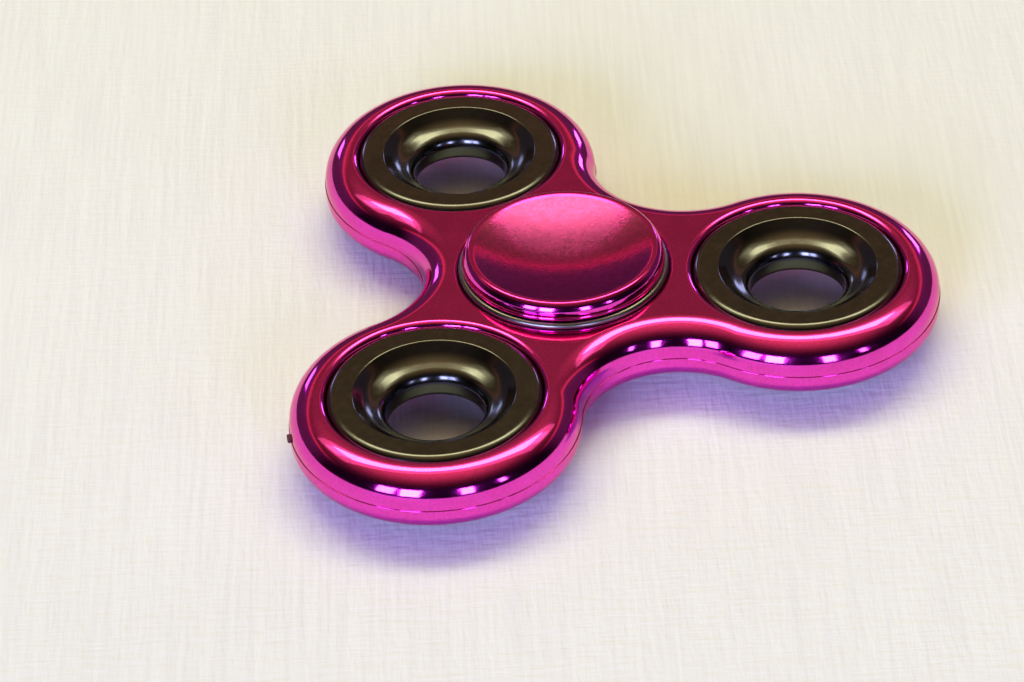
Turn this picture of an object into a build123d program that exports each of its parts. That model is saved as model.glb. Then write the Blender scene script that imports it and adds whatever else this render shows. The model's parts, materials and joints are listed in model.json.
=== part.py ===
from build123d import *
import math
import os

# A three-lobed fidget spinner, in millimetres. Z is the spin axis and the origin is the middle of
# the centre bearing. The first lobe points along +Y. The finger caps and the bearing's inner race
# are held still between finger and thumb, and everything else turns round them.

# The moulded body
lobe_count = 3
lobe_distance = 24.33  # from the spin axis to a lobe's centre
lobe_radius = 14.84  # outside of a lobe, measured on the lower half
waist_radius = 9.6  # the hollow between two lobes
body_thickness = 6.2
parting_height = -0.3  # where the two halves of the mould met
parting_step = 0.08  # the lower half stands this far proud of the upper one
parting_round = 0.07
top_edge_round = 3.0
bottom_edge_round = 2.0
seat_edge_round = 0.7  # the mouths of the three weight seats
hub_edge_round = 0.5  # the mouths of the bearing seat
rim_match = 0.02  # how closely an edge has to fit a seat's rim to be rounded with it
gate_angle = 163.5  # where the moulding gate was cut off, about the last lobe's centre
gate_width = 0.8
gate_height = 0.6
gate_proud = 0.3
gate_root = 1.5  # how far the gate stub reaches into the wall
gate_corner_round = 0.16

# The centre bearing, a standard size
bearing_outer_radius = 11.0
bearing_bore_radius = 4.0
bearing_width = 7.0
ball_count = 7
ball_radius = 3.969 / 2
ball_pitch_radius = 7.5
ball_gap = 0.02  # between a ball and the bottom of each groove
groove_radius = 2.05
outer_shoulder_radius = 8.97
inner_shoulder_radius = 6.05
outer_corner_round = 0.4
inner_corner_round = 0.3
press_gap = 0.02  # radial, between parts that are pressed together

# The ribbon cage, the rivets and the shields
cage_sheet = 0.3
cage_inner_radius = 6.45
cage_outer_radius = 8.6
pocket_gap = 0.1
rivet_radius = 0.35
rivet_head_radius = 0.6
rivet_head_height = 0.2
rivet_head_round = 0.1
rivet_hole_gap = 0.02
shield_sheet = 0.3
shield_bottom = 2.65  # height of the shield's inner face above the bearing's middle
shield_inner_radius = 6.35
shield_seat_radius = 9.7
shield_rim_width = 0.45
shield_rim_height = 0.6
shield_edge_round = 0.075

# The ring weights. A corner's height is where two faces would meet without their rounding.
weight_half_height = 3.05
weight_edge_round = 0.93
weight_bore_radius = 4.9
upper_bore_corner = 0.98
upper_lip_round = 1.6
lower_bore_corner = 1.44
lower_lip_round = 0.7
funnel_mouth_radius = 8.25
funnel_mouth_round = 0.25
upper_foot_radius = 6.98
upper_foot_height = 1.78
upper_foot_round = 3.2
lower_foot_radius = 7.42
lower_foot_height = 2.35
lower_foot_round = 3.0

# The finger caps
cap_top = 5.5  # height of the rim above the bearing's middle
cap_rim_inner = 9.4
cap_rim_outer = 9.7
cap_rim_round = 0.35
cap_dish_depth = 1.5
cap_shoulder_tilt = 37.0  # degrees, where the rim's rounding gives way to the shoulder
cap_shoulder_round = 1.5
cap_groove_height = 4.17
cap_groove_radius = 10.3
cap_groove_width = 0.12
cap_skirt_radius = 10.6
cap_skirt_round = 0.2
cap_clearance = 0.15  # between a cap and the outer race that turns under it
cap_boss_radius = 5.3
stub_end = 0.15  # each stub stops this far short of the bearing's middle
stub_chamfer = 0.3

half_body = body_thickness / 2
half_bearing = bearing_width / 2
quarter_turn = 90.0
full_turn = 360.0
lobe_step = full_turn / lobe_count
ball_step = full_turn / ball_count


def lobe_centre(index):
    """The middle of one lobe: the first is on +Y, the others follow clockwise."""
    angle = math.radians(quarter_turn - index * lobe_step)
    return Vector(lobe_distance * math.cos(angle), lobe_distance * math.sin(angle), 0)


def towards(start, end, distance):
    """The point that lies distance from start on the way to end."""
    return start + (end - start).normalized() * distance


def outline(grow):
    """The body's outline, as one face: three lobe arcs joined by three tangent waist arcs."""
    lobe = lobe_radius + grow
    waist = waist_radius - grow
    reach = (lobe_radius + waist_radius) ** 2
    root = math.sqrt(lobe_distance**2 - 4 * (lobe_distance**2 - reach))
    waist_distance = (lobe_distance + root) / 2
    edges = []
    for index in range(lobe_count):
        centre = lobe_centre(index)
        following = lobe_centre(index + 1)
        middle = centre + following
        waist_centre = middle.normalized() * waist_distance
        previous_centre = waist_centre.rotate(Axis.Z, lobe_step)
        tip = towards(centre, centre * 2, lobe)
        start = towards(centre, previous_centre, lobe)
        end = towards(centre, waist_centre, lobe)
        hollow = towards(waist_centre, Vector(0, 0, 0), waist)
        landing = towards(following, waist_centre, lobe)
        edges.append(ThreePointArc(start, tip, end))
        edges.append(ThreePointArc(end, hollow, landing))
    return make_face(edges)


def turned(corners):
    """A solid of revolution about Z from (radius, height, corner rounding) points in order."""
    points = [(radius, 0, height) for radius, height, rounding in corners]
    roundings = [rounding for radius, height, rounding in corners]
    section = FilletPolyline(points, radius=roundings, close=True)
    return revolve(make_face(section.edges()), axis=Axis.Z)


def gate_stub():
    """The small stub left on the last lobe where the moulding gate was cut off."""
    centre = lobe_centre(lobe_count - 1)
    depth = gate_root + gate_proud
    block = Box(depth, gate_width, gate_height, align=(Align.MAX, Align.CENTER, Align.CENTER))
    block = fillet(block.edges().filter_by(Axis.Z), gate_corner_round)
    reach = lobe_radius + gate_proud
    return Pos(centre.X, centre.Y, parting_height) * Rot(0, 0, gate_angle) * Pos(reach, 0, 0) * block


def bored(solid, centre, edge_round):
    """solid with a bearing-sized seat through it, its two mouths rounded."""
    solid = solid - Pos(centre.X, centre.Y, 0) * Cylinder(bearing_outer_radius, 2 * body_thickness)
    rims = [
        edge
        for edge in solid.edges().filter_by(GeomType.CIRCLE)
        if abs(edge.radius - bearing_outer_radius) < rim_match
        and (edge.arc_center - Vector(centre.X, centre.Y, edge.arc_center.Z)).length < rim_match
    ]
    return fillet(rims, edge_round)


def moulded_body():
    upper_face = outline(-parting_step)
    lower_face = outline(0)
    upper = extrude(upper_face, half_body - parting_height)
    upper = Pos(0, 0, parting_height) * upper
    upper = fillet(upper.faces().sort_by(Axis.Z)[-1].edges(), top_edge_round)
    lower = extrude(lower_face, half_body + parting_height)
    lower = Pos(0, 0, -half_body) * lower
    lower = fillet(lower.faces().sort_by(Axis.Z)[0].edges(), bottom_edge_round)
    lower = fillet(lower.faces().sort_by(Axis.Z)[-1].edges(), parting_round)
    body = upper + lower + gate_stub()
    body = bored(body, Vector(0, 0, 0), hub_edge_round)
    for index in range(lobe_count):
        body = bored(body, lobe_centre(index), seat_edge_round)
    return body


def ring_weight():
    """A waisted ring pressed into a lobe, with a deeper funnel above than below."""
    rim = bearing_outer_radius - press_gap
    top = weight_half_height
    return turned(
        [
            (rim, top, weight_edge_round),
            (funnel_mouth_radius, top, funnel_mouth_round),
            (upper_foot_radius, upper_foot_height, upper_foot_round),
            (weight_bore_radius, upper_bore_corner, upper_lip_round),
            (weight_bore_radius, -lower_bore_corner, lower_lip_round),
            (lower_foot_radius, -lower_foot_height, lower_foot_round),
            (funnel_mouth_radius, -top, funnel_mouth_round),
            (rim, -top, weight_edge_round),
        ]
    )


def finger_cap():
    """The upper cap: a dished button with a stub that fits halfway into the bearing's bore."""
    stub = bearing_bore_radius - press_gap
    underside = half_bearing + cap_clearance
    tilt = math.radians(cap_shoulder_tilt)
    rim_drop = cap_rim_round * (1 - math.cos(tilt))
    rim_end_radius = cap_rim_outer + cap_rim_round * math.sin(tilt)
    rim_end_height = cap_top - rim_drop
    shoulder_centre_radius = rim_end_radius - cap_shoulder_round * math.sin(tilt)
    shoulder_centre_height = rim_end_height - cap_shoulder_round * math.cos(tilt)
    groove_top = cap_groove_height + cap_groove_width / 2
    groove_bottom = cap_groove_height - cap_groove_width / 2

    def on_shoulder(height):
        rise = height - shoulder_centre_height
        return shoulder_centre_radius + math.sqrt(cap_shoulder_round**2 - rise**2)

    shoulder_middle = (rim_end_height + groove_top) / 2
    half_tilt = tilt / 2
    rim_middle = (
        cap_rim_outer + cap_rim_round * math.sin(half_tilt),
        0,
        cap_top - cap_rim_round * (1 - math.cos(half_tilt)),
    )
    rim_end = (rim_end_radius, 0, rim_end_height)
    shoulder_foot = (on_shoulder(groove_top), 0, groove_top)
    skirt_middle = (groove_bottom + underside) / 2
    body_edges = [
        Line((0, 0, stub_end), (stub - stub_chamfer, 0, stub_end)),
        Line((stub - stub_chamfer, 0, stub_end), (stub, 0, stub_end + stub_chamfer)),
        Line((stub, 0, stub_end + stub_chamfer), (stub, 0, half_bearing)),
        Line((stub, 0, half_bearing), (cap_boss_radius, 0, half_bearing)),
        Line((cap_boss_radius, 0, half_bearing), (cap_boss_radius, 0, underside)),
        Line((cap_boss_radius, 0, underside), (cap_skirt_radius - cap_skirt_round, 0, underside)),
        ThreePointArc(
            (cap_skirt_radius - cap_skirt_round, 0, underside),
            (cap_skirt_radius, 0, skirt_middle),
            (cap_groove_radius, 0, groove_bottom),
        ),
        Line((cap_groove_radius, 0, groove_bottom), (cap_groove_radius, 0, groove_top)),
        Line((cap_groove_radius, 0, groove_top), shoulder_foot),
        ThreePointArc(shoulder_foot, (on_shoulder(shoulder_middle), 0, shoulder_middle), rim_end),
        ThreePointArc(rim_end, rim_middle, (cap_rim_outer, 0, cap_top)),
        Line((cap_rim_outer, 0, cap_top), (0, 0, cap_top)),
        Line((0, 0, cap_top), (0, 0, stub_end)),
    ]
    cap = revolve(make_face(body_edges), axis=Axis.Z)
    dish_radius = (cap_rim_inner**2 + cap_dish_depth**2) / (2 * cap_dish_depth)
    return cap - Pos(0, 0, cap_top - cap_dish_depth + dish_radius) * Sphere(dish_radius)


def outer_race():
    rim = bearing_outer_radius - press_gap
    corners = [
        (rim, half_bearing, outer_corner_round),
        (shield_seat_radius, half_bearing, 0),
        (shield_seat_radius, shield_bottom, 0),
        (outer_shoulder_radius, shield_bottom, 0),
        (outer_shoulder_radius, -shield_bottom, 0),
        (shield_seat_radius, -shield_bottom, 0),
        (shield_seat_radius, -half_bearing, 0),
        (rim, -half_bearing, outer_corner_round),
    ]
    groove_bottom = ball_pitch_radius + ball_radius + ball_gap
    return turned(corners) - Torus(groove_bottom - groove_radius, groove_radius)


def inner_race():
    corners = [
        (bearing_bore_radius, half_bearing, inner_corner_round),
        (inner_shoulder_radius, half_bearing, inner_corner_round),
        (inner_shoulder_radius, -half_bearing, inner_corner_round),
        (bearing_bore_radius, -half_bearing, inner_corner_round),
    ]
    groove_bottom = ball_pitch_radius - ball_radius - ball_gap
    return turned(corners) - Torus(groove_bottom + groove_radius, groove_radius)


def ball(index):
    return Rot(0, 0, index * ball_step) * Pos(ball_pitch_radius, 0, 0) * Sphere(ball_radius)


def annulus(inner, outer, bottom, top):
    middle = Pos(0, 0, (bottom + top) / 2)
    return middle * (Cylinder(outer, top - bottom) - Cylinder(inner, 2 * (top - bottom)))


def cage_half():
    """The upper half of the ribbon cage: a flat ring that swells into a pocket over each ball."""
    pocket_radius = ball_radius + pocket_gap
    shell_radius = pocket_radius + cage_sheet
    cage = annulus(cage_inner_radius, cage_outer_radius, 0, cage_sheet)
    band = annulus(cage_inner_radius, cage_outer_radius, 0, shell_radius)
    hole = Cylinder(rivet_radius + rivet_hole_gap, 2 * cage_sheet + rivet_head_height)
    for index in range(ball_count):
        seat = Rot(0, 0, index * ball_step) * Pos(ball_pitch_radius, 0, 0)
        cage = cage + (seat * Sphere(shell_radius) & band)
    for index in range(ball_count):
        seat = Rot(0, 0, index * ball_step) * Pos(ball_pitch_radius, 0, 0)
        between = Rot(0, 0, (index + 1 / 2) * ball_step) * Pos(ball_pitch_radius, 0, 0)
        cage = cage - seat * Sphere(pocket_radius) - between * hole
    return cage


def cage_rivets():
    """One rivet between each two balls, with a head on each side, as separate solids."""
    shank = Cylinder(rivet_radius, 2 * cage_sheet)
    head = Cylinder(rivet_head_radius, rivet_head_height)
    head = fillet(head.edges().sort_by(Axis.Z)[-1], rivet_head_round)
    upper_head = Pos(0, 0, cage_sheet + rivet_head_height / 2) * head
    rivet = shank + upper_head + upper_head.mirror(Plane.XY)
    return [
        Rot(0, 0, (index + 1 / 2) * ball_step) * Pos(ball_pitch_radius, 0, 0) * rivet
        for index in range(ball_count)
    ]


def shield():
    """The upper shield: a thin dished ring whose turned-up rim is pressed into the outer race."""
    outer = shield_seat_radius - press_gap
    rim_inner = outer - shield_rim_width
    rim_top = shield_bottom + shield_rim_height
    plate_top = shield_bottom + shield_sheet
    return turned(
        [
            (shield_inner_radius, shield_bottom, shield_edge_round),
            (outer, shield_bottom, shield_edge_round),
            (outer, rim_top, shield_edge_round),
            (rim_inner, rim_top, shield_edge_round),
            (rim_inner, plate_top, shield_edge_round),
            (shield_inner_radius, plate_top, shield_edge_round),
        ]
    )


parts = {"body": moulded_body()}
weight = ring_weight()
for index in range(lobe_count):
    parts[f"weight_ring_{index + 1}"] = Pos(*lobe_centre(index)) * weight
parts["finger_cap_top"] = finger_cap()
parts["finger_cap_bottom"] = finger_cap().mirror(Plane.XY)
parts["bearing_outer_race"] = outer_race()
parts["bearing_inner_race"] = inner_race()
for index in range(ball_count):
    parts[f"ball_{index + 1}"] = ball(index)
parts["cage_upper"] = cage_half()
parts["cage_lower"] = cage_half().mirror(Plane.XY)
parts["cage_rivets"] = Compound(children=cage_rivets())
parts["shield_upper"] = shield()
parts["shield_lower"] = shield().mirror(Plane.XY)

os.makedirs("parts", exist_ok=True)
for name, solid in parts.items():
    export_step(solid, f"parts/{name}.step")
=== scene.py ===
import json
import math

import bpy
from mathutils import Matrix, Vector
from mathutils.geometry import delaunay_2d_cdt


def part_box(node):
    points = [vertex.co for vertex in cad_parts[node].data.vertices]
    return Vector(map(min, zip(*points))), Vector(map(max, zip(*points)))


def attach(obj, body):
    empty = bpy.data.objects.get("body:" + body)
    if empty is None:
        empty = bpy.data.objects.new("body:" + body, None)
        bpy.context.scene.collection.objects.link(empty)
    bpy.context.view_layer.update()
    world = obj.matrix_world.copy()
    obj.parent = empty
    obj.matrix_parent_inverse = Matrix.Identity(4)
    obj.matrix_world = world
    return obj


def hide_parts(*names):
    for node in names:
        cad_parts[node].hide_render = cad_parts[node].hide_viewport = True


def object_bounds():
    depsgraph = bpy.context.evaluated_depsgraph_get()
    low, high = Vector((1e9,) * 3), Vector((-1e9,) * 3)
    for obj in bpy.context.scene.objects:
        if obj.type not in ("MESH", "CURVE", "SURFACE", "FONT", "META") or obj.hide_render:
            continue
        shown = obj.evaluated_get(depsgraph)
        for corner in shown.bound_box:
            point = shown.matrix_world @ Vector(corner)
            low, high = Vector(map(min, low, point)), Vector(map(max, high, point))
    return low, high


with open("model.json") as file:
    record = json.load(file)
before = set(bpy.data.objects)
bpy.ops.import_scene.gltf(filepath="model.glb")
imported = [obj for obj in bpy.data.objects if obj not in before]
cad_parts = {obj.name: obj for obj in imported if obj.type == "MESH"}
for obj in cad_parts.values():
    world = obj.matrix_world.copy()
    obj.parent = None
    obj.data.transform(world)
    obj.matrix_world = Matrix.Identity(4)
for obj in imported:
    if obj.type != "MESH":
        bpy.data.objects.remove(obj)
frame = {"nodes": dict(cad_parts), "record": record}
cad_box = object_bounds()

# ---------------------------------------------------------------------------------------------
# Sizes, in metres. Places and heights come from the frame, and roundings are named here.
# ---------------------------------------------------------------------------------------------
lobe_count = 3
lobe_angle = math.tau / lobe_count
weight_nodes = [f"weight_ring_{index + 1}" for index in range(lobe_count)]


def middle(node):
    low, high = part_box(node)
    return (low + high) / 2


def half_height(node):
    low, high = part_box(node)
    return (high.z - low.z) / 2


lobe_centres = [middle(node).xy for node in weight_nodes]
lobe_distance = sum(centre.length for centre in lobe_centres) / lobe_count
half_body = half_height("body")
half_bearing = half_height("bearing_outer_race")
half_weight = half_height(weight_nodes[0])
cap_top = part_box("finger_cap_top")[1].z
floor_height = cad_box[0].z

lobe_radius = 0.01484
waist_radius = 0.0096
parting_height = -0.0003
parting_step = 0.00008
parting_round = 0.00007
top_edge_round = 0.003
bottom_edge_round = 0.002
seat_radius = 0.011
seat_edge_round = 0.0007
hub_edge_round = 0.0005
press_gap = 0.00002
gate_angle = math.radians(163.5)
gate_width = 0.0008
gate_height = 0.0006
gate_proud = 0.0003
gate_root = 0.0015
gate_corner_steps = 6
ball_pitch_radius = 0.0075
ball_radius = 0.0019845
ball_gap = 0.00002
groove_radius = 0.00205
shield_seat_radius = 0.0097
shield_bottom = 0.00265

# ---------------------------------------------------------------------------------------------
# Meshes with exact normals. A station is one point of an edge profile: how far out it is, its
# height, and the outward and upward parts of the surface normal there.
# ---------------------------------------------------------------------------------------------
merge_scale = 1e7  # points closer than a tenth of a micrometre are one vertex
arc_step = math.radians(7.5)
circle_steps = 144


class Shell:
    """Gathers faces, each a list of (point, normal) corners, and becomes one closed object."""

    def __init__(self):
        self.points = []
        self.known = {}
        self.faces = []
        self.normals = []

    def vertex(self, point):
        key = tuple(round(value * merge_scale) for value in point)
        if key not in self.known:
            self.known[key] = len(self.points)
            self.points.append(point)
        return self.known[key]

    def face(self, corners):
        found = {}
        for point, normal in corners:
            found.setdefault(self.vertex(point), normal)
        if len(found) < 3:
            return
        indices = list(found)
        normals = [found[index] for index in indices]
        first, second, third = (Vector(self.points[index]) for index in indices[:3])
        facing = (second - first).cross(third - second)
        if facing.dot(Vector(normals[0]) + Vector(normals[1]) + Vector(normals[2])) < 0:
            indices.reverse()
            normals.reverse()
        self.faces.append(indices)
        self.normals.extend(normals)

    def build(self, name):
        mesh = bpy.data.meshes.new(name)
        mesh.from_pydata(self.points, [], self.faces, shade_flat=False)
        mesh.normals_split_custom_set(self.normals)
        piece = bpy.data.objects.new(name, mesh)
        bpy.context.scene.collection.objects.link(piece)
        return piece


def circle(centre, steps=circle_steps):
    """An outline with no size of its own: a station's outward distance is the radius."""
    angles = [math.tau * step / steps for step in range(steps)]
    return [(centre[0], centre[1], math.cos(angle), math.sin(angle)) for angle in angles]


def placed(outline, station):
    """The corners of one outline at one station."""
    out, height, normal_out, normal_up = station
    return [
        ((x + nx * out, y + ny * out, height), (nx * normal_out, ny * normal_out, normal_up))
        for x, y, nx, ny in outline
    ]


def sweep(shell, outline, stations):
    """Joins each station's copy of the outline to the next one's."""
    rows = [placed(outline, station) for station in stations]
    for row, following in zip(rows, rows[1:]):
        for step in range(len(outline)):
            ahead = (step + 1) % len(outline)
            shell.face([row[step], row[ahead], following[ahead], following[step]])


def arc(centre, radius, start, end, hollow=False):
    """Stations on an arc from the angle start to the angle end, in degrees, about a centre."""
    steps = max(2, math.ceil(abs(math.radians(end - start)) / arc_step))
    side = -1 if hollow else 1
    stations = []
    for step in range(steps + 1):
        angle = math.radians(start + (end - start) * step / steps)
        out, up = math.cos(angle), math.sin(angle)
        place = (centre[0] + radius * out, centre[1] + radius * up)
        stations.append((*place, side * out, side * up))
    return stations


def rounded(corners, closed=True):
    """Stations along a profile of (out, height, rounding) corners, anticlockwise."""
    count = len(corners)
    stations = []
    for index, (out, height, rounding) in enumerate(corners):
        here = Vector((out, height))
        before = Vector(corners[index - 1][:2])
        after = Vector(corners[(index + 1) % count][:2])
        arriving = (here - before).normalized()
        leaving = (after - here).normalized()
        if not closed and index == 0:
            arriving = leaving
        if not closed and index == count - 1:
            leaving = arriving
        turn = -arriving.angle_signed(leaving)
        steps = max(1, math.ceil(abs(turn) / arc_step)) if rounding else 1
        setback = rounding * math.tan(abs(turn) / 2)
        start = here - arriving * setback
        side = 1 if turn > 0 else -1
        normal = Vector((arriving.y, -arriving.x))
        centre = start - normal * rounding * side
        for step in range(steps + 1):
            swung = Matrix.Rotation(turn * step / steps, 2) @ normal
            place = centre + swung * rounding * side if rounding else here
            stations.append((place.x, place.y, swung.x, swung.y))
    return stations + stations[:1] if closed else stations


def turned(name, stations, centre=(0.0, 0.0)):
    shell = Shell()
    sweep(shell, circle(centre), stations)
    return shell.build(name)


def mirrored(stations):
    """The same profile turned upside down."""
    return [(out, -height, facing_out, -facing_up) for out, height, facing_out, facing_up in stations]


# ---------------------------------------------------------------------------------------------
# The moulded body
# ---------------------------------------------------------------------------------------------
lobe_steps = 120
waist_steps = 40
web_spacing = 0.0011
to_millimetres = 1000.0
merge_distance = 1e-7
just_inside = 0.999


def body_outline():
    """The lower half's outline, clockwise: each point with its outward direction."""
    reach = (lobe_radius + waist_radius) ** 2
    root = math.sqrt(lobe_distance**2 - 4 * (lobe_distance**2 - reach))
    waist_distance = (lobe_distance + root) / 2
    half_waist = lobe_angle / 2
    run = waist_distance * math.cos(half_waist) - lobe_distance
    spread = math.atan2(waist_distance * math.sin(half_waist), run)
    outline = []
    for centre in lobe_centres:
        facing = math.atan2(centre.y, centre.x)
        for step in range(lobe_steps):
            angle = facing + spread - 2 * spread * step / lobe_steps
            nx, ny = math.cos(angle), math.sin(angle)
            outline.append((centre.x + lobe_radius * nx, centre.y + lobe_radius * ny, nx, ny))
        hollow = facing - half_waist
        waist_x = waist_distance * math.cos(hollow)
        waist_y = waist_distance * math.sin(hollow)
        for step in range(waist_steps):
            swing = 2 * (spread - half_waist) * step / waist_steps
            angle = facing - spread + swing
            nx, ny = math.cos(angle), math.sin(angle)
            outline.append((waist_x - waist_radius * nx, waist_y - waist_radius * ny, nx, ny))
    return outline


def web(shell, outer, holes, up):
    """Fills the flat between an outer loop and round holes with an even net of triangles."""
    height = outer[0][0][2]
    rings = [ring for ring, centre, radius in holes]
    loops = [[corner[0][:2] for corner in loop] for loop in [outer] + rings]
    places = []
    edges = []
    for loop in loops:
        start = len(places)
        places.extend(loop)
        edges.extend((start + step, start + (step + 1) % len(loop)) for step in range(len(loop)))
    border = list(places)
    rows = int(cad_box[1].y * 2 / web_spacing)
    for row in range(-rows, rows + 1):
        for column in range(-rows, rows + 1):
            x = (column + (row % 2) / 2) * web_spacing
            y = row * web_spacing * math.sqrt(3) / 2
            if min((x - px) ** 2 + (y - py) ** 2 for px, py in border) > (web_spacing / 2) ** 2:
                places.append((x, y))
    flat = [Vector((x * to_millimetres, y * to_millimetres)) for x, y in places]
    made, _, triangles, origins, _, _ = delaunay_2d_cdt(flat, edges, [], 1, merge_distance)
    normal = (0.0, 0.0, up)
    for triangle in triangles:
        middle_x = sum(made[index].x for index in triangle) / 3 / to_millimetres
        middle_y = sum(made[index].y for index in triangle) / 3 / to_millimetres
        in_hole = any(
            math.hypot(middle_x - centre[0], middle_y - centre[1]) < radius
            for ring, centre, radius in holes
        )
        if not in_hole:
            corners = [places[origins[index][0]] for index in triangle]
            shell.face([((x, y, height), normal) for x, y in corners])


def moulded_body():
    shell = Shell()
    outline = body_outline()
    side = rounded(
        [
            (-parting_step - top_edge_round, half_body, 0),
            (-parting_step, half_body, top_edge_round),
            (-parting_step, parting_height, 0),
            (0, parting_height, parting_round),
            (0, -half_body, bottom_edge_round),
            (-bottom_edge_round, -half_body, 0),
        ][::-1],
        closed=False,
    )[1:-1]
    sweep(shell, outline, side)
    tops = []
    bottoms = []
    seats = [((0.0, 0.0), hub_edge_round)]
    seats += [(centre, seat_edge_round) for centre in lobe_centres]
    for centre, rounding in seats:
        wall = rounded(
            [
                (seat_radius + rounding, half_body, 0),
                (seat_radius, half_body, rounding),
                (seat_radius, -half_body, rounding),
                (seat_radius + rounding, -half_body, 0),
            ],
            closed=False,
        )[1:-1]
        ring = circle(centre)
        sweep(shell, ring, wall)
        mouth = seat_radius + rounding * just_inside
        tops.append((placed(ring, wall[0]), centre, mouth))
        bottoms.append((placed(ring, wall[-1]), centre, mouth))
    web(shell, placed(outline, side[-1]), tops, 1.0)
    web(shell, placed(outline, side[0]), bottoms, -1.0)
    return shell.build("body_moulding")


def gate_stub():
    """The small stub left on the last lobe where the moulding gate was cut off."""
    corner = gate_width / 5
    half_width = gate_width / 2 - corner
    shell = Shell()
    turn = Matrix.Rotation(gate_angle, 2)
    near = lobe_radius - gate_root
    far = lobe_radius + gate_proud
    outline = []
    for x, y, start in (
        (far - corner, half_width, 90),
        (far - corner, -half_width, 0),
        (near + corner, -half_width, -90),
        (near + corner, half_width, -180),
    ):
        place = turn @ Vector((x, y)) + lobe_centres[-1]
        for step in range(gate_corner_steps + 1):
            angle = math.radians(start - 90 / gate_corner_steps * step)
            normal = turn @ Vector((math.cos(angle), math.sin(angle)))
            outline.append((place.x, place.y, normal.x, normal.y))
    top = parting_height + gate_height / 2
    bottom = parting_height - gate_height / 2
    ease = corner / 2
    stations = rounded(
        [
            (corner - ease, bottom, 0),
            (corner, bottom, ease),
            (corner, top, ease),
            (corner - ease, top, 0),
        ],
        closed=False,
    )[1:-1]
    sweep(shell, outline, stations)
    for station in (stations[0], stations[-1]):
        shell.face(placed(outline, station))
    return shell.build("gate_stub")


# ---------------------------------------------------------------------------------------------
# Turned pieces: weights, finger caps and the bearing
# ---------------------------------------------------------------------------------------------
def ring_weight(index):
    """A ring with a deeper funnel above than below."""
    rim = seat_radius - press_gap
    rim_round = 0.00093
    mouth = 0.00825
    mouth_round = 0.00025
    bore = 0.0049
    upper_foot = (0.00698, 0.00178, 0.0032)
    upper_lip = (bore, 0.00098, 0.0016)
    lower_lip = (bore, -0.00144, 0.0007)
    lower_foot = (0.00742, -0.00235, 0.003)
    corners = [
        (rim, half_weight, rim_round),
        (mouth, half_weight, mouth_round),
        upper_foot,
        upper_lip,
        lower_lip,
        lower_foot,
        (mouth, -half_weight, mouth_round),
        (rim, -half_weight, rim_round),
    ]
    return turned(f"weight_{index + 1}", rounded(corners), lobe_centres[index])


dish_steps = 28
lip_run = 4.0  # the straight lines beside a rounded lip, as a multiple of what the rounding takes


def cap_profile():
    """The upper finger cap, from the stub's end out and round to the middle of the dish."""
    stub = 0.00398
    stub_end = 0.00015
    stub_round = 0.0003
    boss = 0.0053
    boss_round = 0.0001
    rim_inner = 0.0094
    rim_outer = 0.0097
    rim_round = 0.00035
    shoulder_round = 0.0015
    tilt = 37.0
    leaning = math.radians(tilt)
    groove_top = 0.00423
    groove_bottom = 0.00411
    groove_floor = 0.0103
    skirt = 0.0106
    skirt_round = 0.0002
    dish_depth = 0.0015
    dish_round = 0.0012
    bearing_gap = 0.00015
    underside = half_bearing + bearing_gap
    shoulder_out = rim_outer + (rim_round - shoulder_round) * math.sin(leaning)
    shoulder_height = cap_top - rim_round + (rim_round - shoulder_round) * math.cos(leaning)
    foot = math.degrees(math.asin((groove_top - shoulder_height) / shoulder_round))
    foot_out = shoulder_out + shoulder_round * math.cos(math.radians(foot))
    dish_radius = (rim_inner**2 + dish_depth**2) / (2 * dish_depth)
    slope = math.asin(rim_inner / dish_radius)
    setback = dish_round * math.tan(slope / 2)
    lower = rounded(
        [
            (0, stub_end, 0),
            (stub, stub_end, stub_round),
            (stub, half_bearing, boss_round),
            (boss, half_bearing, 0),
            (boss, underside, 0),
            (skirt, underside, skirt_round),
            (skirt, groove_bottom, skirt_round),
            (groove_floor, groove_bottom, 0),
            (groove_floor, groove_top, 0),
            (foot_out, groove_top, 0),
        ],
        closed=False,
    )
    shoulder = arc((shoulder_out, shoulder_height), shoulder_round, foot, 90 - tilt)
    rim = arc((rim_outer, cap_top - rim_round), rim_round, 90 - tilt, 90)
    run = setback * lip_run
    fall = (rim_inner - math.cos(slope) * run, cap_top - math.sin(slope) * run, 0)
    lip_corners = [(rim_outer, cap_top, 0), (rim_inner, cap_top, dish_round), fall]
    lip = rounded(lip_corners, closed=False)[1:-1]
    start = math.degrees(slope - setback / dish_radius)
    dish_centre = (0, cap_top - dish_depth + dish_radius)
    dish = []
    for step in range(dish_steps + 1):
        angle = math.radians(start) * (1 - step / dish_steps)
        out, up = math.sin(angle), math.cos(angle)
        dish.append((dish_radius * out, dish_centre[1] - dish_radius * up, -out, up))
    return lower + shoulder + rim + lip[:-1] + dish


def outer_race():
    rim = seat_radius - press_gap
    rim_round = 0.0004
    shoulder = 0.00897
    edge_round = 0.00008
    groove_centre = ball_pitch_radius + ball_radius + ball_gap - groove_radius
    edge = math.degrees(math.acos((shoulder - groove_centre) / groove_radius))
    upper = rounded(
        [
            (rim, 0, 0),
            (rim, half_bearing, rim_round),
            (shield_seat_radius, half_bearing, edge_round),
            (shield_seat_radius, shield_bottom, 0),
            (shoulder, shield_bottom, edge_round),
            (shoulder, groove_radius * math.sin(math.radians(edge)), 0),
        ],
        closed=False,
    )
    groove = arc((groove_centre, 0), groove_radius, edge, 0, hollow=True)
    half = upper + groove
    return turned("outer_race", half + mirrored(half)[::-1])


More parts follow.
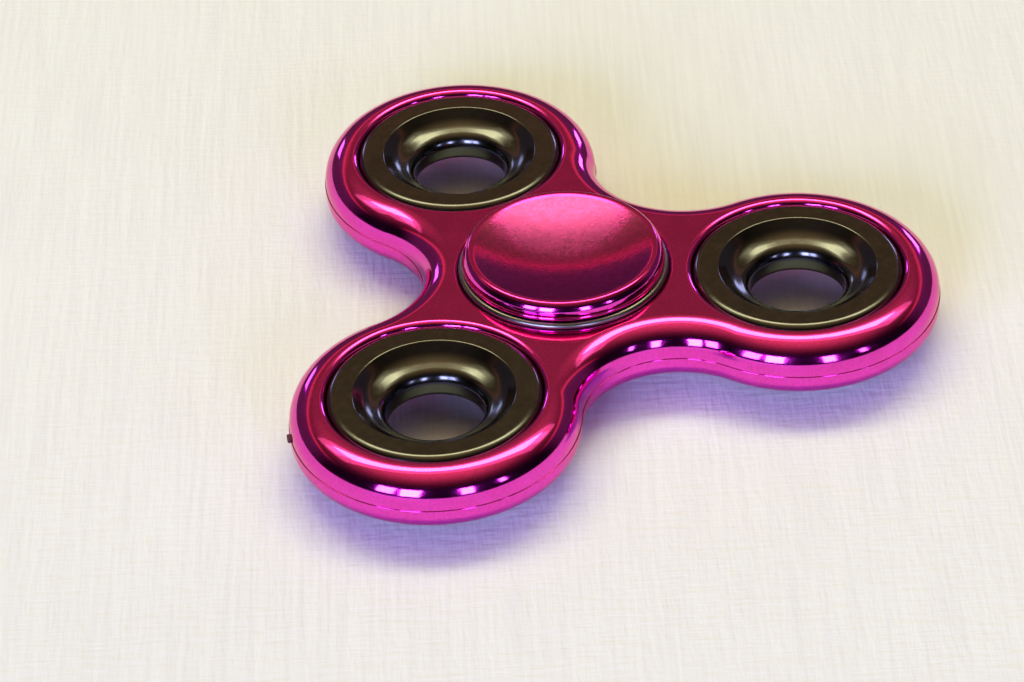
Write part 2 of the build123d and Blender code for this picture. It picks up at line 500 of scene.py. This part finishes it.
def inner_race():
    bore = 0.004
    shoulder = 0.00605
    corner_round = 0.0003
    groove_centre = ball_pitch_radius - ball_radius - ball_gap + groove_radius
    edge = math.degrees(math.acos((groove_centre - shoulder) / groove_radius))
    upper = rounded(
        [
            (shoulder, groove_radius * math.sin(math.radians(edge)), 0),
            (shoulder, half_bearing, corner_round),
            (bore, half_bearing, corner_round),
            (bore, 0, 0),
        ],
        closed=False,
    )
    groove = arc((groove_centre, 0), groove_radius, 180, 180 - edge, hollow=True)
    half = groove + upper
    return turned("inner_race", half + mirrored(half)[::-1])


def shield(sign):
    """The upper shield where sign is 1: a thin ring with a turned-up rim."""
    sheet = 0.0003
    rim_height = 0.0006
    rim_width = 0.00045
    inner = 0.00635
    edge = 0.000075
    bottom = shield_bottom
    plate = bottom + sheet
    rim_top = bottom + rim_height
    outer = shield_seat_radius - press_gap
    rim_inner = outer - rim_width
    stations = rounded(
        [
            (inner, bottom, edge),
            (outer, bottom, edge),
            (outer, rim_top, edge),
            (rim_inner, rim_top, edge),
            (rim_inner, plate, edge),
            (inner, plate, edge),
        ]
    )
    if sign > 0:
        return turned("shield_up", stations)
    return turned("shield_down", mirrored(stations))


ball_outline_steps = 64


def ball(node):
    """A ball in the shape the CAD gives, as an even net with exact normals."""
    low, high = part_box(node)
    radius = (high.z - low.z) / 2
    place = (low + high) / 2
    stations = arc((0, 0), radius, -90, 90)
    shell = Shell()
    sweep(shell, circle(place.xy, ball_outline_steps), stations)
    return shell.build(node + "_steel")


# ---------------------------------------------------------------------------------------------
# Materials. The owner of a node is a material or the world.
# ---------------------------------------------------------------------------------------------
def new_material(name, **settings):
    """A node material, with what is the same all over set on the shader's own sockets."""
    material = bpy.data.materials.new(name)
    material.use_nodes = True
    shader = material.node_tree.nodes["Principled BSDF"]
    for socket, value in settings.items():
        shader.inputs[socket.replace("_", " ")].default_value = value
    return material


def add(owner, kind, inputs, **settings):
    """A node with its settings and its inputs, each a value or another node's output."""
    node = owner.node_tree.nodes.new(kind)
    for name, value in settings.items():
        setattr(node, name, value)
    for name, value in inputs.items():
        if isinstance(value, bpy.types.NodeSocket):
            owner.node_tree.links.new(value, node.inputs[name])
        else:
            node.inputs[name].default_value = value
    return node


def connect(material, output, socket):
    shader = material.node_tree.nodes["Principled BSDF"]
    material.node_tree.links.new(output, shader.inputs[socket])


def coordinates(owner):
    return add(owner, "ShaderNodeTexCoord", {}).outputs["Object"]


def noise(owner, scale, detail=2.0, stretch=(1.0, 1.0, 1.0), turn=0.0):
    """Noise whose features are about 1 / scale metres across."""
    placing = {"Vector": coordinates(owner), "Rotation": (0.0, 0.0, turn)}
    turned_place = add(owner, "ShaderNodeMapping", placing).outputs[0]
    stretching = {"Vector": turned_place, "Scale": stretch}
    stretched = add(owner, "ShaderNodeMapping", stretching).outputs[0]
    inputs = {"Vector": stretched, "Scale": scale, "Detail": detail}
    return add(owner, "ShaderNodeTexNoise", inputs).outputs["Fac"]


def calculate(owner, operation, first, second=0.0):
    return add(owner, "ShaderNodeMath", {0: first, 1: second}, operation=operation).outputs[0]


def dot(owner, vector, direction):
    inputs = {0: vector, 1: direction}
    return add(owner, "ShaderNodeVectorMath", inputs, operation="DOT_PRODUCT").outputs["Value"]


def remap(owner, value, low, high, to_low=0.0, to_high=1.0, smooth=False):
    """Maps value from low..high to to_low..to_high, and no further."""
    inputs = {"Value": value, "From Min": low, "From Max": high}
    inputs.update({"To Min": to_low, "To Max": to_high})
    kind = "SMOOTHSTEP" if smooth else "LINEAR"
    return add(owner, "ShaderNodeMapRange", inputs, interpolation_type=kind).outputs[0]


def ramp(owner, value, stops):
    """A colour that follows value through (place, colour) stops."""
    node = add(owner, "ShaderNodeValToRGB", {0: value})
    elements = node.color_ramp.elements
    while len(elements) < len(stops):
        elements.new(1.0)
    for element, (place, colour) in zip(elements, stops):
        element.position = place
        element.color = (*colour, 1.0)
    return node.outputs[0]


def blend(owner, share, colour, other):
    """A colour mixed with another one by the given share."""
    node = add(owner, "ShaderNodeMix", {0: share}, data_type="RGBA")
    owner.node_tree.links.new(colour, node.inputs[6])
    node.inputs[7].default_value = other
    return node.outputs[2]


def relief(owner, height, depth, under=None):
    """A bump of the given depth in metres, on top of another bump."""
    inputs = {"Height": height, "Distance": depth, "Strength": 1.0}
    if under is not None:
        inputs["Normal"] = under
    return add(owner, "ShaderNodeBump", inputs).outputs["Normal"]


def radius_from(owner, centre=(0.0, 0.0)):
    """The distance, seen from above, from a point of the part."""
    kind = "ShaderNodeVectorMath"
    away = add(owner, kind, {0: coordinates(owner), 1: (*centre, 0.0)}, operation="SUBTRACT")
    flat = add(owner, kind, {0: away.outputs[0], 1: (1.0, 1.0, 0.0)}, operation="MULTIPLY")
    return add(owner, kind, {0: flat.outputs[0]}, operation="LENGTH").outputs["Value"]


edge_tint = (0.80, 0.12, 0.35, 1.0)
# The dishes' dull tint is finger wear over the whole dish, plus painted shade round the rubbed spot
# on the far side, dimming the key light's reflection.
dull_and_shade_tint = (0.41, 0.036, 0.26, 1.0)
rub_and_shade_centre = (0.0028, 0.0059)  # the most rubbed spot of each dish
rub_and_shade_inner = 0.0050
rub_and_shade_outer = 0.0086


def plating(name, worn_radius=0.0, coat=0.8, coat_roughness=0.05):
    """Pink vacuum plating: mirror-like, with a faint orange peel.

    With a worn_radius, fingers have rubbed it dull that far out from the spin axis. Roughness and a
    darker tint are strongest round a spot towards the far side, away from the camera: that extra
    darkening is painted shade, dimming the key light's reflection there.
    """
    shine = {"Coat_Weight": coat, "Coat_Roughness": coat_roughness, "Coat_IOR": 1.55}
    material = new_material(name, Metallic=1.0, Specular_Tint=edge_tint, **shine)
    mottle = noise(material, 260.0, 3.0)
    tint = ramp(material, mottle, [(0.3, (0.86, 0.018, 0.50)), (0.7, (0.92, 0.026, 0.60))])
    speck = remap(material, noise(material, 3600.0, 2.0), 0.3, 0.6, 0.82, 1.0)
    haze = remap(material, noise(material, 420.0, 4.0), 0.35, 0.7, 0.08, 0.12)
    peel = relief(material, noise(material, 620.0, 1.0), 0.0000035)
    if worn_radius:
        centred = radius_from(material)
        worn = remap(material, centred, worn_radius, worn_radius * 0.95, smooth=True)
        # The rubbed spot lies towards the far side, away from the camera; besides roughness, it
        # darkens the tint there as painted shade over the key light's reflection.
        rub_and_shade_reach = radius_from(material, rub_and_shade_centre)
        rubbed_and_shaded = remap(material, rub_and_shade_reach, rub_and_shade_inner, rub_and_shade_outer, 1.0, 0.35, smooth=True)
        wear_and_shade = calculate(material, "MULTIPLY", worn, rubbed_and_shaded)
        rubbed = remap(material, noise(material, 2600.0, 3.0), 0.35, 0.65, 0.27, 0.36)
        haze = calculate(material, "MAXIMUM", haze, calculate(material, "MULTIPLY", rubbed, wear_and_shade))
        sparkle = calculate(material, "MULTIPLY", noise(material, 3400.0, 2.0), worn)
        peel = relief(material, sparkle, 0.000012, peel)
        smudge = remap(material, noise(material, 1100.0, 4.0), 0.4, 0.62, 1.0, 0.84)
        unworn = calculate(material, "SUBTRACT", 1.0, worn)
        smudge = calculate(material, "MAXIMUM", smudge, unworn)
        speck = calculate(material, "MULTIPLY", speck, smudge)
        # Dull tint: finger wear, plus painted shade that peaks at the rubbed spot.
        tint = blend(material, wear_and_shade, tint, dull_and_shade_tint)
    speckled = add(material, "ShaderNodeVectorMath", {0: tint, "Scale": speck}, operation="SCALE")
    connect(material, speckled.outputs[0], "Base Color")
    connect(material, haze, "Roughness")
    grain = noise(material, 4200.0, 2.0)
    connect(material, relief(material, grain, 0.0000005, peel), "Normal")
    return material


def black_nickel():
    """Tumbled steel plated with black nickel: a dark warm metal with a soft gloss."""
    material = new_material("weight_metal", Metallic=1.0)
    patch = noise(material, 500.0, 3.0)
    tint = ramp(material, patch, [(0.3, (0.086, 0.092, 0.100)), (0.7, (0.104, 0.110, 0.118))])
    connect(material, tint, "Base Color")
    gloss = remap(material, noise(material, 1500.0, 3.0), 0.3, 0.7, 0.14, 0.20)
    connect(material, gloss, "Roughness")
    grain = relief(material, noise(material, 3000.0, 3.0), 0.0000006)
    connect(material, relief(material, noise(material, 330.0, 2.0), 0.000002, grain), "Normal")
    return material


def turned_steel(name, dark, light, gloss, lines):
    """Turned or ground steel whose fine marks run round the spin axis."""
    material = new_material(name, Metallic=1.0)
    height = add(material, "ShaderNodeSeparateXYZ", {0: coordinates(material)}).outputs[2]
    place = add(material, "ShaderNodeCombineXYZ", {0: radius_from(material), 2: height}).outputs[0]
    inputs = {"Vector": place, "Scale": lines, "Detail": 3.0}
    marks = add(material, "ShaderNodeTexNoise", inputs).outputs["Fac"]
    tint = ramp(material, noise(material, 350.0, 3.0), [(0.3, dark), (0.7, light)])
    connect(material, tint, "Base Color")
    connect(material, remap(material, marks, 0.3, 0.7, *gloss), "Roughness")
    connect(material, relief(material, marks, 0.000001), "Normal")
    return material


def ball_steel():
    """Polished bearing balls under a thin film of oil."""
    material = new_material("ball_steel", Metallic=1.0)
    cloud = noise(material, 500.0, 3.0)
    tint = ramp(material, cloud, [(0.3, (0.56, 0.57, 0.58)), (0.7, (0.68, 0.68, 0.68))])
    connect(material, tint, "Base Color")
    gloss = remap(material, noise(material, 900.0, 4.0), 0.3, 0.7, 0.04, 0.09)
    connect(material, gloss, "Roughness")
    return material


def cut_plastic():
    """The gate stub's bare face: dull dark plastic where the plating was cut through."""
    material = new_material("cut_plastic", Roughness=0.6)
    patch = noise(material, 2500.0, 3.0)
    shade = ramp(material, patch, [(0.3, (0.05, 0.004, 0.012)), (0.7, (0.11, 0.008, 0.03))])
    connect(material, shade, "Base Color")
    connect(material, relief(material, noise(material, 4000.0, 3.0), 0.00002), "Normal")
    return material


def woven_cloth(turn):
    """Pale cream tablecloth: a fine weave with slubs along one thread."""
    material = new_material("woven_cloth", Roughness=0.9, Specular_IOR_Level=0.15)
    slub = calculate(material, "MULTIPLY", noise(material, 1800.0, 3.0, (1.0, 0.03, 1.0), turn), 0.75)
    broad = calculate(material, "MULTIPLY", noise(material, 12.0, 2.0), 0.25)
    mixed = calculate(material, "ADD", slub, broad)
    tone = ramp(material, mixed, [(0.36, (0.755, 0.85, 0.95)), (0.62, (0.80, 0.905, 1.0))])
    connect(material, tone, "Base Color")
    warp = noise(material, 1700.0, 1.0, (1.0, 0.2, 1.0), turn)
    weft = noise(material, 1700.0, 1.0, (0.2, 1.0, 1.0), turn)
    weave = relief(material, warp, 0.00010)
    connect(material, relief(material, weft, 0.00007, weave), "Normal")
    return material


# ---------------------------------------------------------------------------------------------
# The object: each piece rides its body, stands for its CAD node and has its slot's material
# ---------------------------------------------------------------------------------------------
# The race steel is painted darker than bare steel: painted shade from the finger caps over the
# bearing.
shaded_steel_dark = (0.16, 0.165, 0.17)
shaded_steel_light = (0.22, 0.225, 0.23)
# The shield and cage steel is painted darker than bare sheet steel: painted shade under the finger
# caps.
shaded_sheet_dark = (0.26, 0.26, 0.26)
shaded_sheet_light = (0.36, 0.36, 0.35)
materials = {
    "plated_plastic": plating("plated_plastic"),
    "weight_metal": black_nickel(),
    "race_steel": turned_steel("race_steel", shaded_steel_dark, shaded_steel_light, (0.24, 0.36), 9000.0),
    "ball_steel": ball_steel(),
    "sheet_steel": turned_steel("sheet_steel", shaded_sheet_dark, shaded_sheet_light, (0.28, 0.42), 4000.0),
}
worn_radius = 0.0094
worn_height = 0.0039
# The dishes' plating: finger-worn, with painted shade on the far side of each dish.
worn_and_shaded_plating = plating("worn_and_shaded_plating", worn_radius, coat=0.35, coat_roughness=0.3)
node_bodies = {
    node: body for body, nodes in frame["record"]["behaviour"]["bodies"].items() for node in nodes
}


def fit(piece, node, slot, material=None):
    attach(piece, node_bodies[node])
    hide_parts(node)
    piece.data.materials.append(material or materials[slot])


fit(moulded_body(), "body", "plated_plastic")
fit(gate_stub(), "body", "plated_plastic", cut_plastic())
for index, node in enumerate(weight_nodes):
    fit(ring_weight(index), node, "weight_metal")
for piece, node in (
    (turned("cap_up", cap_profile()), "finger_cap_top"),
    (turned("cap_down", mirrored(cap_profile())), "finger_cap_bottom"),
):
    fit(piece, node, "plated_plastic")
    piece.data.materials.append(worn_and_shaded_plating)
    for face in piece.data.polygons:
        on_dish = face.center.xy.length < worn_radius and abs(face.center.z) > worn_height
        face.material_index = int(on_dish)
fit(outer_race(), "bearing_outer_race", "race_steel")
fit(inner_race(), "bearing_inner_race", "race_steel")
fit(shield(1), "shield_upper", "sheet_steel")
fit(shield(-1), "shield_lower", "sheet_steel")
for node in sorted(frame["nodes"]):
    if node.startswith("ball_"):
        fit(ball(node), node, "ball_steel")
for node in ("cage_upper", "cage_lower", "cage_rivets"):
    frame["nodes"][node].data.materials.clear()
    frame["nodes"][node].data.materials.append(materials["sheet_steel"])

# ---------------------------------------------------------------------------------------------
# The camera
# ---------------------------------------------------------------------------------------------
camera_azimuth = math.radians(-25.457)
camera_elevation = math.radians(37.556)
camera_roll = math.radians(-2.903)
camera_distance = 0.3911
camera_target = Vector((-0.0105, -0.00865, 0.00287))
camera_lens = 135.2

to_camera = Vector(
    (
        math.sin(camera_azimuth) * math.cos(camera_elevation),
        -math.cos(camera_azimuth) * math.cos(camera_elevation),
        math.sin(camera_elevation),
    )
)
level_right = Vector((math.cos(camera_azimuth), math.sin(camera_azimuth), 0))
level_up = to_camera.cross(level_right)
right = level_right * math.cos(camera_roll) + level_up * math.sin(camera_roll)
up = level_up * math.cos(camera_roll) - level_right * math.sin(camera_roll)
camera_data = bpy.data.cameras.new("camera")
camera_data.lens = camera_lens
camera_data.sensor_width = 36.0
camera_data.clip_start = 0.01
camera = bpy.data.objects.new("camera", camera_data)
camera_turn = Matrix((right, up, to_camera)).transposed().to_4x4()
camera.matrix_world = Matrix.Translation(camera_target + to_camera * camera_distance) @ camera_turn
bpy.context.scene.collection.objects.link(camera)
bpy.context.scene.camera = camera
bpy.context.scene.view_settings.view_transform = "Standard"

# ---------------------------------------------------------------------------------------------
# Floor and light. Azimuths are in degrees from the far side, clockwise as seen from above.
# ---------------------------------------------------------------------------------------------
floor_reach = 3.0
lamp_distance = 1.6
warm = (1.0, 0.92, 0.50)
glow_colour = (1.0, 0.62, 0.25)
cool = (0.54, 0.55, 0.96)
dim_colour = (0.006, 0.006, 0.008)
glow_elevation = 79
glow_spread = 5.4
glow_level = 0.92


def towards(azimuth, elevation):
    """The direction at an azimuth and elevation."""
    angle = camera_azimuth - math.radians(azimuth)
    level = Vector((-math.sin(angle), math.cos(angle), 0)) * math.cos(math.radians(elevation))
    return level + Vector((0, 0, math.sin(math.radians(elevation))))


def softbox(name, azimuth, elevation, wide, high, brightness, colour):
    """A rectangular light that covers wide by high degrees of the room."""
    lamp = bpy.data.lights.new(name, "AREA")
    lamp.shape = "RECTANGLE"
    lamp.size = 2 * lamp_distance * math.tan(math.radians(wide / 2))
    lamp.size_y = 2 * lamp_distance * math.tan(math.radians(high / 2))
    lamp.energy = brightness * math.pi * lamp.size * lamp.size_y
    lamp.color = colour
    box = bpy.data.objects.new(name, lamp)
    place = towards(azimuth, elevation)
    box.location = place * lamp_distance
    box.rotation_euler = place.to_track_quat("Z", "Y").to_euler()
    box.visible_camera = False
    bpy.context.scene.collection.objects.link(box)


def room():
    """A dim room: a warm ceiling round the key light and a lit rail on the far wall."""
    world = bpy.data.worlds.new("room")
    world.use_nodes = True
    direction = add(world, "ShaderNodeTexCoord", {}).outputs["Generated"]
    height = add(world, "ShaderNodeSeparateXYZ", {0: direction}).outputs[2]
    far_wall = ramp(
        world,
        height,
        [
            (0.0, (0.10, 0.08, 0.09)),
            (0.475, (0.10, 0.07, 0.08)),
            (0.485, (0.78, 0.27, 0.16)),
            (0.52, (0.56, 0.19, 0.10)),
            (0.56, (0.05, 0.025, 0.012)),
        ],
    )
    facing = remap(world, dot(world, direction, towards(0, 0)), -0.1, 0.4, smooth=True)
    nearness = calculate(world, "MAXIMUM", dot(world, direction, towards(0, glow_elevation)), 0.0)
    glow = calculate(world, "MULTIPLY", calculate(world, "POWER", nearness, glow_spread), glow_level)
    kind = "ShaderNodeVectorMath"
    wall = add(world, kind, {0: far_wall, "Scale": facing}, operation="SCALE").outputs[0]
    ceiling = add(world, kind, {0: glow_colour, "Scale": glow}, operation="SCALE").outputs[0]
    lit = add(world, kind, {0: wall, 1: ceiling}, operation="ADD").outputs[0]
    dim = add(world, kind, {0: lit, 1: dim_colour}, operation="ADD").outputs[0]
    background = world.node_tree.nodes["Background"]
    world.node_tree.links.new(dim, background.inputs["Color"])
    bpy.context.scene.world = world


softbox("key", 0, 66, 54, 14, 6.9, warm)
softbox("key_wings", 0, 66, 76, 11, 1.3, warm)
softbox("key_surround", 0, 69, 84, 30, 0.7, warm)
softbox("window_left", -141, 19, 12, 21, 14.0, cool)
softbox("window_middle", -159, 18, 13.5, 24, 20.0, cool)
softbox("window_right", 160, 17, 9, 22, 17.0, cool)
softbox("window_far_right", 133, 19, 4.5, 12, 12.0, cool)
softbox("side_left", -26, 15, 8, 8, 4.0, cool)
softbox("side_right", 26, 15, 8, 8, 7.0, cool)
room()

floor_mesh = bpy.data.meshes.new("floor")
floor_corners = [(-1, -1), (1, -1), (1, 1), (-1, 1)]
floor_points = [(x * floor_reach, y * floor_reach, floor_height) for x, y in floor_corners]
floor_mesh.from_pydata(floor_points, [], [range(4)])
floor = bpy.data.objects.new("floor", floor_mesh)
bpy.context.scene.collection.objects.link(floor)
floor.data.materials.append(woven_cloth(-camera_azimuth))
